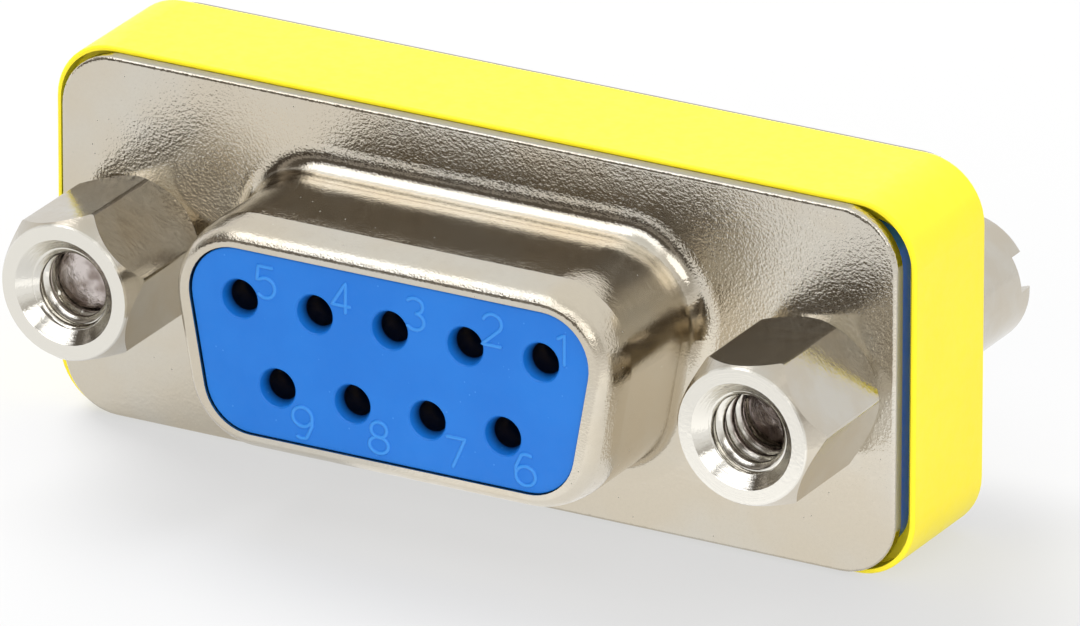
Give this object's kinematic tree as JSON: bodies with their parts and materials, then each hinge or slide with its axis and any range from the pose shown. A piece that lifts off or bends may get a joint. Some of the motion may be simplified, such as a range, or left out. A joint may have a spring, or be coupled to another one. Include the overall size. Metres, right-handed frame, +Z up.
{
  "type": "d-sub adapter",
  "caption": "Low-profile D-sub adapter: two female D-shaped faces back to back with blue insulators, hexagon jack nuts, slotted jack screws and a yellow moulded band.",
  "frame": {"origin": "middle of the footprint, on the flat underside of the moulded band", "axes": "+X along the connector towards pin 1, +Y from the front face through to the rear face, +Z up, wide side of the front D up"},
  "size_m": [0.0318, 0.0172, 0.0129],
  "materials": {
    "plated_steel": "satin",
    "plated_brass": "polished",
    "contact_brass": "polished",
    "blue_plastic": "satin",
    "yellow_plastic": "satin"
  },
  "bodies": {
    "root": {"front_shell": "plated_steel", "rear_shell": "plated_steel", "front_insulator": "blue_plastic", "rear_insulator": "blue_plastic", "housing_band": "yellow_plastic", "front_jack_nut_left": "plated_brass", "front_jack_nut_right": "plated_brass", "rear_jack_screw_left": "plated_brass", "rear_jack_screw_right": "plated_brass", "front_contact_1": "contact_brass", "front_contact_2": "contact_brass", "front_contact_3": "contact_brass", "front_contact_4": "contact_brass", "front_contact_5": "contact_brass", "front_contact_6": "contact_brass", "front_contact_7": "contact_brass", "front_contact_8": "contact_brass", "front_contact_9": "contact_brass", "rear_contact_1": "contact_brass", "rear_contact_2": "contact_brass", "rear_contact_3": "contact_brass", "rear_contact_4": "contact_brass", "rear_contact_5": "contact_brass", "rear_contact_6": "contact_brass", "rear_contact_7": "contact_brass", "rear_contact_8": "contact_brass", "rear_contact_9": "contact_brass"}
  },
  "joints": []
}
